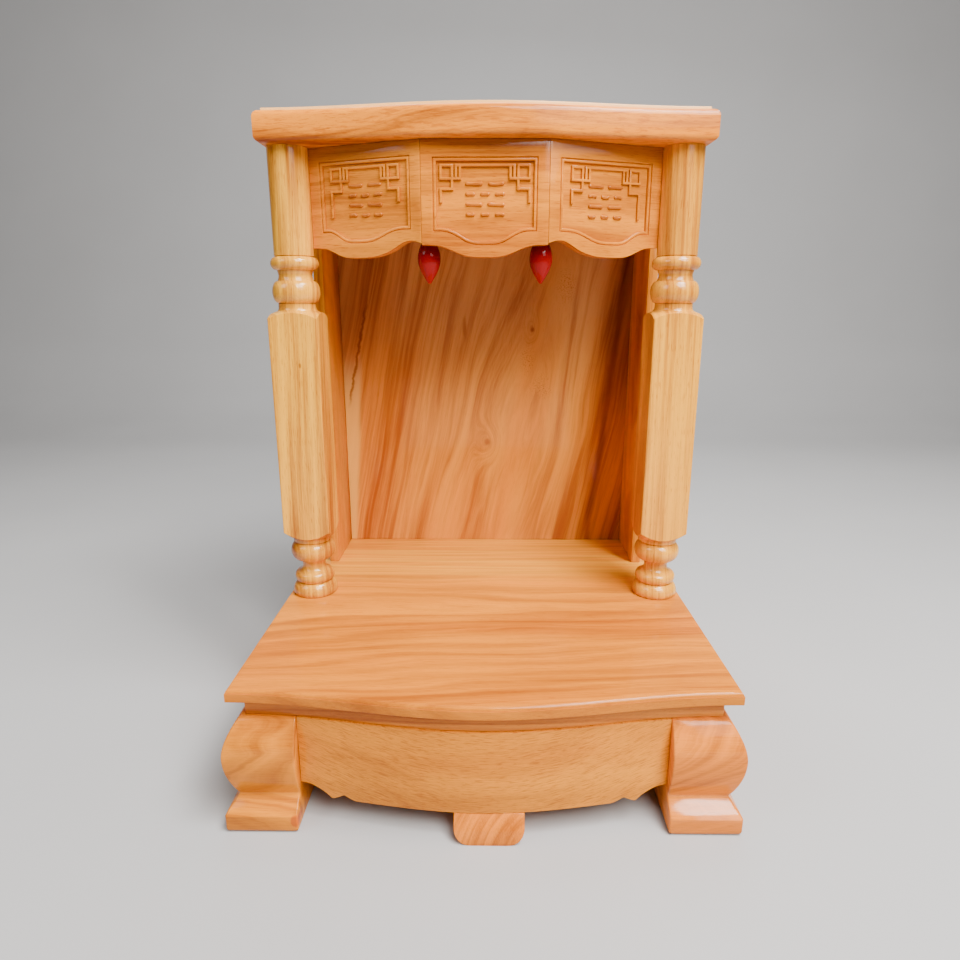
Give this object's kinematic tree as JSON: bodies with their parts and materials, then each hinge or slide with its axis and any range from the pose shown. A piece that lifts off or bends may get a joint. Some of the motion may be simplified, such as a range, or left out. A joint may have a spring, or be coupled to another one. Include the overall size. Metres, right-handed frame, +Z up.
{
  "type": "household altar cabinet",
  "caption": "Small wooden household altar: bow-fronted base on scrolled feet, turned columns, open niche, carved fascia with flame lamps, moulded top.",
  "frame": {"origin": "on the floor, under the middle of the cabinet's bounding box", "axes": "+Z up, the open carved front faces -Y, +X to the right seen from the front"},
  "size_m": [0.496, 0.4768, 0.6855],
  "materials": {
    "varnished_wood": "honey-coloured hardwood under clear gloss varnish",
    "column_wood": "turned hardwood, fine upright grain, clear gloss varnish",
    "carved_wood": "carved hardwood, clear varnish",
    "panel_wood": "upright-grained boards with small knots, clear gloss varnish",
    "foot_wood": "carved hardwood blocks, clear gloss varnish, worn at the floor",
    "lamp_red": "deep red glossy lamp envelope",
    "lamp_holder": "plain ivory lamp holder"
  },
  "bodies": {
    "root": {"apron_back": "varnished_wood", "apron_front": "varnished_wood", "apron_left": "varnished_wood", "apron_right": "varnished_wood", "back_panel": "panel_wood", "base_board": "varnished_wood", "centre_foot": "foot_wood", "column_left": "column_wood", "column_right": "column_wood", "fascia_center": "carved_wood", "fascia_left": "carved_wood", "fascia_right": "carved_wood", "foot_back_left": "foot_wood", "foot_back_right": "foot_wood", "foot_front_left": "foot_wood", "foot_front_right": "foot_wood", "lamp_holder_left": "lamp_holder", "lamp_holder_right": "lamp_holder", "lamp_left": "lamp_red", "lamp_right": "lamp_red", "rail_back": "varnished_wood", "rail_front": "varnished_wood", "rail_left": "varnished_wood", "rail_right": "varnished_wood", "side_panel_left": "panel_wood", "side_panel_right": "panel_wood", "top_board": "varnished_wood"}
  },
  "joints": []
}
